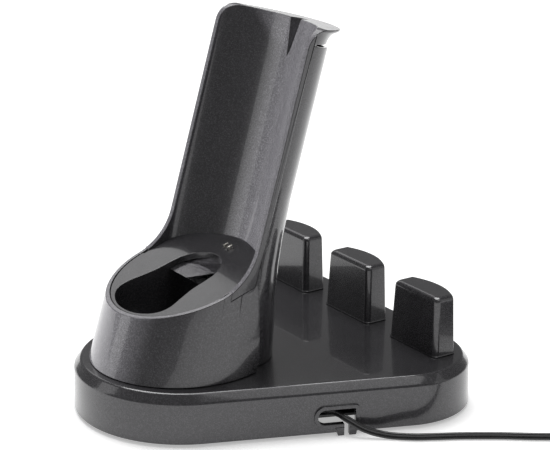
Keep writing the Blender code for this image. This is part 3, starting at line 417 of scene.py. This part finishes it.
def wall_prism(name, outline, near, far):
    return loft(name, [[wall_place(s, out, z) for s, z in outline] for out in (near, far)])


def slot_outline(grow):
    middle, radius = (SLOT_LOW + SLOT_HIGH) / 2, (SLOT_HIGH - SLOT_LOW) / 2 + grow
    centre = SLOT_START + radius - grow
    arc = [(centre - radius * math.sin(t), middle + radius * math.cos(t))
           for t in (math.pi * i / 32 for i in range(33))]
    end = SLOT_END + grow
    corner = circle(end - grow, middle + radius - grow, grow, 9, 0.0, math.pi / 2) if grow else []
    return arc + [(end, middle - radius)] + (corner or [(end, middle + radius)])


def base_shell():
    levels = [(0.5, FOOT_LIFT), (0.12, FOOT_LIFT + 0.15), (0.0, FOOT_LIFT + 0.6),
              (0.25, 14.0), (DRAFT_INSET, CHAMFER_LOW - 0.9), (DRAFT_INSET + 0.2, CHAMFER_LOW),
              (DRAFT_INSET + 0.9, CHAMFER_LOW + 0.8), (CHAMFER_INSET - 0.9, BASE_TOP - 0.9),
              (CHAMFER_INSET - 0.1, BASE_TOP - 0.22), (CHAMFER_INSET + 0.9, BASE_TOP)]
    shell = loft("base_shell", [base_ring(inset, z) for inset, z in levels])
    ceiling = BASE_TOP - WALL
    cavity = loft("base_cavity", [base_ring(WALL, FOOT_LIFT - 1.0),
                                  base_ring(WALL + DRAFT_INSET, CHAMFER_LOW - 1.5),
                                  base_ring(WALL + CHAMFER_INSET - 1.5, ceiling)])
    near = WALL_DISTANCE - WALL - 0.4
    collar = wall_prism("slot_collar", slot_outline(COLLAR), near, WALL_DISTANCE + COLLAR_PROUD)
    middle = SLOT_LOW - COLLAR + 1.0
    legs = wall_prism("slot_legs", [(LEG_START, middle), (LEG_START + 1.6, LEG_LOW),
                                    (LEG_END - 1.0, LEG_LOW), (LEG_END, middle)],
                      near, WALL_DISTANCE + COLLAR_PROUD - 0.15)
    reach = (near - 6.0, WALL_DISTANCE + 6.0)
    slot = wall_prism("slot_cut", slot_outline(0.0), *reach)
    notch = wall_prism("notch_cut", [(NOTCH_START, SLOT_LOW + 1.0), (NOTCH_START, -3.0),
                                     (NOTCH_END, -3.0), (NOTCH_END, SLOT_LOW + 1.0)], *reach)
    settle(shell, ("DIFFERENCE", cavity), ("UNION", collar), ("UNION", legs),
           ("DIFFERENCE", slot), ("DIFFERENCE", notch))
    soften(shell, 0.3, 40.0)
    dress(shell, "shell_plastic", "stand", "base_housing")


def post_ring(y, inset, z):
    half = POST_HALF - inset
    front, side = POST_X + inset, POST_X + POST_SIDE
    radius = (half * half + (POST_SAGITTA - inset) ** 2) / (2 * max(POST_SAGITTA - inset, 0.5))
    reach = math.asin(half / radius)
    points = circle(side + POST_SAGITTA - inset - radius, y, radius, 41, -reach, 2 * reach)
    points += circle(front + POST_CORNER, y + half - POST_CORNER, POST_CORNER, 15,
                     math.pi / 2, math.pi / 2)
    points += circle(front + POST_CORNER, y - half + POST_CORNER, POST_CORNER, 15,
                     math.pi, math.pi / 2)
    return [(px, py, z) for px, py in points]


def post_shells():
    low, top = BASE_TOP + GAP, BASE_TOP + POST_HEIGHT
    for side, y in (("left", POST_Y), ("middle", 0.0), ("right", -POST_Y)):
        rings = [post_ring(y, -0.6, low), post_ring(y, 0.0, low + 0.6),
                 post_ring(y, POST_DRAFT, top - POST_EDGE)]
        for i in range(1, 9):
            t = math.pi / 16 * i
            rings.append(post_ring(y, POST_DRAFT + POST_EDGE * (1 - math.cos(t)),
                                   top - POST_EDGE * (1 - math.sin(t))))
        post = loft(f"post_{side}", rings)
        soften(post, 0.3, 45.0)
        dress(post, "shell_plastic", "stand", f"attachment_post_{side}")


# Pod, cradle, deck and cover -------------------------------------------------------------------


def channel_solid(name):
    inner = channel_arc(CHANNEL_DEPTH, CRADLE_HALF - RIM_BAND)
    outer = [(v + WALL, y) for v, y in channel_arc(CHANNEL_DEPTH,
                                                   CRADLE_HALF - RIM_BAND + CHANNEL_SIDE)]
    section = [(-11.0, CRADLE_HALF), (-11.0, CRADLE_HALF - RIM_BAND)] + inner
    section += [(-11.0, RIM_BAND - CRADLE_HALF), (-11.0, -CRADLE_HALF)]
    section += [(RETURN_DEPTH, -CRADLE_HALF), (RETURN_DEPTH, WALL - CRADLE_HALF)]
    section += outer[::-1] + [(RETURN_DEPTH, CRADLE_HALF - WALL), (RETURN_DEPTH, CRADLE_HALF)]
    return loft(name, [[cradle_point(u, v, y) for v, y in section]
                       for u in (-62.0, CRADLE_TOP + 12.0)])


def lip_solid(name):
    steps = ((CRADLE_TOP - LIP_DROP, 0.0), (CRADLE_TOP - 7.6, 0.1), (CRADLE_TOP - 6.0, 0.8),
             (CRADLE_TOP - 4.6, 1.8), (CRADLE_TOP - 3.6, 3.0), (CRADLE_TOP - 2.7, 4.7),
             (CRADLE_TOP - 2.0, 6.6), (CRADLE_TOP - 1.2, 9.4), (CRADLE_TOP + 12.0, 9.4))
    start = LIP_DEPTH - 9.4
    rings = []
    for u, flare in steps:
        half = CRADLE_HALF - 1.2 + 1.2 * flare / 9.4
        outer = half_ellipse(0.5, start + flare - 0.5, half)
        inner = [(v + 0.6, y) for v, y in channel_arc(CHANNEL_DEPTH + 0.6,
                                                      CRADLE_HALF - RIM_BAND + 0.7)]
        rings.append([cradle_point(u + TOP_TILT * v, v, y) for v, y in outer + inner[::-1]])
    return loft(name, rings)


def notch_wedge(name, grow, near):
    half, deep, fall = 4.6 + grow, 7.4 + grow, 23.0 + 3.0 * grow
    wide = [(near, half + 2.4), (CHANNEL_DEPTH + deep, half - 1.4),
            (CHANNEL_DEPTH + deep, 1.4 - half), (near, -half - 2.4)]
    slim = [(near, 1.2 + grow), (CHANNEL_DEPTH + grow - 0.6, 0.3 + grow),
            (CHANNEL_DEPTH + grow - 0.6, -0.3 - grow), (near, -1.2 - grow)]
    return loft(name, [[cradle_point(CRADLE_TOP - fall, v, y) for v, y in slim],
                       [cradle_point(CRADLE_TOP + 6.0, v, y) for v, y in wide]])


def cradle():
    xs = (POD_X - 80.0, POD_X + 150.0)
    under = side_prism("under_deck", [(xs[0], deck_height(xs[0], 4.0)),
                                      (xs[1], deck_height(xs[1], 4.0)), (xs[1], -60.0),
                                      (xs[0], -60.0)], 90.0)
    channel = settle(channel_solid("channel"), ("DIFFERENCE", under))
    shell = pod_solid("cradle", 0.0, 0.0, BASE_TOP + GAP)
    settle(shell, ("DIFFERENCE", pod_solid("pod_hollow", WALL, 6.0, BASE_TOP - 1.0)),
           ("UNION", channel), ("UNION", lip_solid("lip")),
           ("UNION", notch_wedge("notch_back", 2.0, CHANNEL_DEPTH + 1.0)),
           ("INTERSECT", side_prism("side_view", side_profile(), 90.0)),
           ("DIFFERENCE", notch_wedge("hang_notch", 0.0, CHANNEL_DEPTH - 3.0)))
    soften(shell, 0.45, 30.0)
    dress(shell, "shell_plastic", "stand", "cradle_shell")


def deck_slab(name, low, high):
    xs = (POD_X - 80.0, POD_X + 90.0)
    return side_prism(name, [(xs[0], deck_height(xs[0], low)), (xs[1], deck_height(xs[1], low)),
                             (xs[1], deck_height(xs[1], high)),
                             (xs[0], deck_height(xs[0], high))], 80.0)


CONTACT_X = POD_X + 34.6
CONTACT_SPREAD, BLADE_LONG, BLADE_THICK = 2.2, 3.4, 1.3
DECK_TILT = math.atan(DECK_SLOPE)


def contact_point(along, y, up):
    return (CONTACT_X + along * math.cos(DECK_TILT) - up * math.sin(DECK_TILT), y,
            deck_height(CONTACT_X) + along * math.sin(DECK_TILT) + up * math.cos(DECK_TILT))


def contact_box(name, low, high):
    (a0, y0, u0), (a1, y1, u1) = low, high
    return loft(name, [[contact_point(a, y, u) for a, y in ((a0, y0), (a1, y0), (a1, y1),
                                                            (a0, y1))] for u in (u0, u1)])


def deck():
    plate = pod_solid("deck", WALL + GAP, 34.0, 50.0)
    arc = channel_arc(CHANNEL_DEPTH - GAP, CRADLE_HALF - RIM_BAND - GAP)
    front = [(-120.0, 70.0), (-14.0, 70.0), (-14.0, arc[0][1])] + arc
    front += [(-14.0, arc[-1][1]), (-14.0, -70.0), (-120.0, -70.0)]
    reach = loft("deck_front", [[cradle_point(u, v, y) for v, y in front] for u in (-110.0, 20.0)])
    steps = [("INTERSECT", deck_slab("deck_slab", 0.4, 0.4 + DECK_THICK)), ("INTERSECT", reach)]
    for side in (1, -1):
        low, high = sorted((side * arc[0][1], side * 70.0))
        strip = [(-11.0 - GAP, low), (8.0, low), (8.0, high), (-11.0 - GAP, high)]
        steps.append(("DIFFERENCE", loft(f"band_room{side}", [
            [cradle_point(u, v, y) for v, y in strip] for u in (-90.0, 20.0)])))
    tub = loft("well_tub", [[(x, y, z) for x, y in well_outline(inset)]
                            for inset, z in ((0.6, WELL_FLOOR - 2.0), (-1.9, 92.0))])
    settle(tub, ("DIFFERENCE", deck_slab("tub_trim", -40.0, 0.6)),
           ("INTERSECT", pod_solid("tub_room", WALL + GAP, 34.0, 33.0)))
    levels = ((3.4, WELL_FLOOR), (1.9, WELL_FLOOR + 1.0), (1.4, WELL_FLOOR + 3.0), (0.0, 92.0))
    hollow = loft("well_hollow", [[(x, y, z) for x, y in well_outline(inset)]
                                  for inset, z in levels])
    steps += [("UNION", tub), ("DIFFERENCE", hollow)]
    for side in (1, -1):
        y = side * CONTACT_SPREAD
        half_long, half_thick = BLADE_LONG / 2 + GAP, BLADE_THICK / 2 + GAP
        steps.append(("DIFFERENCE", contact_box(f"blade_slot{side}",
                                                (-half_long, y - half_thick, -6.0),
                                                (half_long, y + half_thick, 4.0))))
    settle(plate, *steps)
    soften(plate, 0.35, 35.0)
    dress(plate, "shell_plastic", "stand", "docking_deck")


def cover_rings(inset, forward, low, high):
    top = CRADLE_TOP - LIP_DROP - 0.6 + high
    lean_x, _, lean_z = cradle_point(0.0, COVER_START)
    high_x, _, high_z = cradle_point(top, COVER_START)
    keys = ((PARTING_FOOT_X + 0.5, BASE_TOP + GAP - low, 0.0, 32.0, 43.2),
            (PARTING_FOOT_X + 1.0, 70.0, 0.0, 33.6, 45.3),
            (POD_X + 26.3, 94.0, 0.4, 32.8, 46.4),
            (POD_X + 30.2, 110.5, 0.78, 31.2, 46.8),
            (lean_x, lean_z, 1.0, 29.6, 47.0),
            (high_x, high_z, 1.0, 29.6, 47.0))
    rings = []
    for x, z, share, depth, half in keys:
        tilt = LEAN * share
        arc = half_ellipse(0.0, depth - inset, half - inset)
        section = [(-forward, half - inset)] + arc + [(-forward, inset - half)] if forward else arc
        rings.append([(x + v * math.cos(tilt), y, z - v * math.sin(tilt)) for v, y in section])
    return rings


def cover():
    shell = loft("cover", cover_rings(0.0, 0.0, 0.0, 0.0))
    room = channel_arc(CHANNEL_DEPTH, CRADLE_HALF - RIM_BAND + CHANNEL_SIDE + GAP)
    room = [(-20.0, 47.3)] + [(v + WALL + GAP, y) for v, y in room] + [(-20.0, -47.3)]
    settle(shell, ("DIFFERENCE", loft("cover_hollow", cover_rings(WALL - 0.2, 12.0, 2.0, 8.0))),
           ("DIFFERENCE", loft("channel_room", [[cradle_point(u, v, y) for v, y in room]
                                                for u in (-58.0, CRADLE_TOP + 12.0)])))
    soften(shell, 0.3, 40.0)
    dress(shell, "shell_plastic", "stand", "rear_cover")


# Lead ------------------------------------------------------------------------------------------

CLAMP_ALONG, CLAMP_OUT = 62.0, 34.0
LEAD_AT_CLAMP = 8.0
LEAD_ROUTE = (
    wall_place(CLAMP_ALONG, CLAMP_OUT - 5.0, LEAD_AT_CLAMP),
    wall_place(CLAMP_ALONG, CLAMP_OUT, LEAD_AT_CLAMP),
    wall_place(CLAMP_ALONG + 1.0, CLAMP_OUT + 10.0, LEAD_AT_CLAMP + 0.3),
    wall_place(CLAMP_ALONG + 8.0, CLAMP_OUT + 20.0, 10.6),
    wall_place(80.6, 60.5, 12.4),
    wall_place(86.0, 67.2, 10.8),
    (16.2, -102.5, 5.6),
    (26.0, -110.6, 2.6),
    (37.1, -120.3, 2.4),
    (48.5, -127.3, 2.4),
    (61.7, -134.8, 2.4),
    (79.7, -146.7, 2.4),
    (97.0, -159.5, 2.4),
)
LEAD_HEADING = math.radians(-34.0)
AHEAD = Vector((math.cos(LEAD_HEADING), math.sin(LEAD_HEADING), 0.0))
ASIDE = Vector((AHEAD.y, -AHEAD.x, 0.0))
MEETING = Vector((*LEAD_ROUTE[-1][:2], 0.0)) + AHEAD * 38.0
OUTER_TURN, TURN_PITCH, LAYER_LOW = 28.4, 4.7, 2.4
COIL_CENTRE = MEETING + ASIDE * OUTER_TURN
COIL_STAGES = ((2.0, -2, 0), (0.4, 0, 1), (2.0, 2, 0), (0.4, 0, 1), (2.0, -2, 0), (0.4, 0, 1),
               (0.8, 2, 0))
STEPS_PER_TURN = 30
STRAND_STEPS = 10
TO_RELIEF = 31.9
RELIEF_HEIGHT = 13.6


def coil_path():
    """Three layers wound inwards, outwards and inwards, and a last turn over the top."""
    inner = OUTER_TURN - 2 * TURN_PITCH
    knots, turn, radius, height = [(0.0, OUTER_TURN, LAYER_LOW)], 0.0, OUTER_TURN, LAYER_LOW
    for turns, inwards, up in COIL_STAGES:
        turn, radius, height = turn + turns, radius + inwards * TURN_PITCH, height + up * TURN_PITCH
        knots.append((turn, min(OUTER_TURN, max(inner, radius)), height))
    path = []
    start = math.atan2(-ASIDE.y, -ASIDE.x)
    for (t0, r0, z0), (t1, r1, z1) in zip(knots, knots[1:]):
        steps = round((t1 - t0) * STEPS_PER_TURN)
        for i in range(steps):
            share = i / steps
            angle = start - 2 * math.pi * (t0 + (t1 - t0) * share)
            r = r0 + (r1 - r0) * share
            path.append(COIL_CENTRE + Vector((r * math.cos(angle), r * math.sin(angle),
                                              z0 + (z1 - z0) * share)))
    return path


def lead_path():
    coil = coil_path()
    top = LAYER_LOW + 3 * TURN_PITCH
    route = smooth_curve(LEAD_ROUTE + (tuple(MEETING + Vector((0, 0, LAYER_LOW))
                                             - AHEAD * 12.0),), 8)
    tail = []
    for i in range(9):
        share = i / 8
        ease = share * share * (3 - 2 * share)
        tail.append(MEETING + AHEAD * TO_RELIEF * share
                    + Vector((0, 0, top + (RELIEF_HEIGHT - top) * ease)))
    return [p * MM for p in route + coil + tail]


def twin_section():
    """Two round strands side by side with a waist between them, as (across, up)."""
    radius, rise = LEAD_RADIUS / 2, LEAD_RADIUS / 2
    section = []
    for sign in (1, -1):
        for i in range(STRAND_STEPS):
            t = math.radians(-68.0 + 316.0 * i / (STRAND_STEPS - 1))
            t -= math.pi if sign < 0 else 0.0
            section.append((radius * math.cos(t), sign * rise + radius * math.sin(t)))
    return section


def lead():
    path = lead_path()
    section = [(a * MM, b * MM) for a, b in twin_section()]
    mesh = bmesh.new()
    rows = []
    for before, here, after in zip(path[:1] + path, path, path[1:] + path[-1:]):
        ahead = (after - before).normalized()
        across = ahead.cross(Vector((0, 0, 1))).normalized()
        up = across.cross(ahead)
        rows.append([mesh.verts.new(here + across * a + up * b) for a, b in section])
    for low, high in zip(rows, rows[1:]):
        for i in range(len(section)):
            j = (i + 1) % len(section)
            mesh.faces.new((low[i], low[j], high[j], high[i]))
    mesh.faces.new(rows[0][::-1])
    mesh.faces.new(rows[-1])
    bmesh.ops.recalc_face_normals(mesh, faces=mesh.faces)
    data = bpy.data.meshes.new("twin_lead")
    mesh.to_mesh(data)
    mesh.free()
    made = bpy.data.objects.new("twin_lead", data)
    bpy.context.scene.collection.objects.link(made)
    made.data.shade_smooth()
    dress(made, "lead_vinyl", "stand", "power_lead", "lead_coil", "lead_tail")


# Carried-over nodes, light and floor -----------------------------------------------------------


def finish_nodes():
    """Every CAD node that stays gets its finish, welded corners and softly rounded edges."""
    slots = {part["node"]: part["material_slot"] for part in frame["record"]["subparts"]}
    for name, node in NODES.items():
        node.data.materials.clear()
        node.data.materials.append(FINISHES[slots[name]])
        normals = node.data.attributes.get("custom_normal")
        if normals:
            node.data.attributes.remove(normals)
        weld = node.modifiers.new("weld", "WELD")
        weld.merge_threshold = 0.00001
        if "wire" in name or "spring" in name:
            node.data.shade_smooth()
        else:
            soften(node, 0.2 if "contact" in name or "screw" in name else 0.35, 32.0)


# Each box: name, place and aim in metres, width and height in metres, power in watts
BOXES = (
    ("left_box", (-1.3, 0.9, 0.6), (0.0, 0.0, 0.12), (0.5, 1.2), 2.2),
    ("high_box", (0.5, 1.6, 1.2), (0.0, 0.0, 0.08), (1.1, 0.55), 1.8),
    ("right_box", (0.9, -1.1, 0.5), (0.05, -0.05, 0.05), (0.5, 1.0), 0.8),
    ("near_box", (0.1, -0.6, 1.3), (0.0, 0.0, 0.05), (0.6, 1.0), 2.6),
)
ROOM_STRENGTH, PAPER_GLOW = 0.18, 0.4
WHITE = (1.0, 1.0, 1.0, 1.0)
FLOOR_HALF, FLOOR_LOW, FLOOR_TOP = 6000.0, -3.0, -0.02


def area_light(name, place, target, size, power):
    data = bpy.data.lights.new(name, "AREA")
    data.shape, data.size, data.size_y = "RECTANGLE", *size
    data.energy = power
    light = bpy.data.objects.new(name, data)
    bpy.context.scene.collection.objects.link(light)
    light.location = place
    light.rotation_euler = (Vector(target) - Vector(place)).to_track_quat("-Z", "Y").to_euler()


def sun_light(name, elevation, azimuth, strength, spread):
    """A distant light. Angles are in degrees, and the azimuth runs from +Y towards +X."""
    data = bpy.data.lights.new(name, "SUN")
    data.energy, data.angle = strength, math.radians(spread)
    light = bpy.data.objects.new(name, data)
    bpy.context.scene.collection.objects.link(light)
    level = math.cos(math.radians(elevation))
    comes_from = Vector((level * math.sin(math.radians(azimuth)),
                         level * math.cos(math.radians(azimuth)),
                         math.sin(math.radians(elevation))))
    light.rotation_euler = (-comes_from).to_track_quat("-Z", "Y").to_euler()
    return light


def left_light():
    """A light from the left that reaches only the cradle and its cover, with no reflection."""
    side = sun_light("from_left", 22.0, -26.5, 28.0, 9.0)
    side.visible_glossy = False
    reached = bpy.data.collections.new("lit_from_left")
    for name in ("cradle", "cover"):
        reached.objects.link(bpy.data.objects[name])
    side.light_linking.receiver_collection = reached


def paper_floor():
    corners = ((-1, -1), (1, -1), (1, 1), (-1, 1))
    floor = loft("floor", [[(x * FLOOR_HALF, y * FLOOR_HALF, z) for x, y in corners]
                           for z in (FLOOR_LOW, FLOOR_TOP)])
    paper = Finish("floor_paper", Roughness=0.95, Emission_Strength=PAPER_GLOW)
    paper.link(paper.ramp(paper.noise(30.0), (0.3, (0.86, 0.86, 0.86)), (0.7, (0.9, 0.9, 0.9))),
               "Base Color")
    paper.shader.inputs["Emission Color"].default_value = WHITE
    floor.data.materials.append(paper.material)


def studio():
    """A dim room, a broad light overhead, the cradle's own side light, soft boxes and a floor."""
    world = bpy.data.worlds.new("studio")
    world.use_nodes = True
    backdrop = world.node_tree.nodes["Background"]
    backdrop.inputs["Color"].default_value = WHITE
    backdrop.inputs["Strength"].default_value = ROOM_STRENGTH
    bpy.context.scene.world = world
    bpy.context.scene.view_settings.view_transform = "Standard"
    sun_light("overhead", 72.0, 10.0, 2.4, 40.0)
    left_light()
    for box in BOXES:
        area_light(*box)
    paper_floor()


place_camera()
finish_nodes()
lead()
base_shell()
post_shells()
cradle()
deck()
cover()
studio()
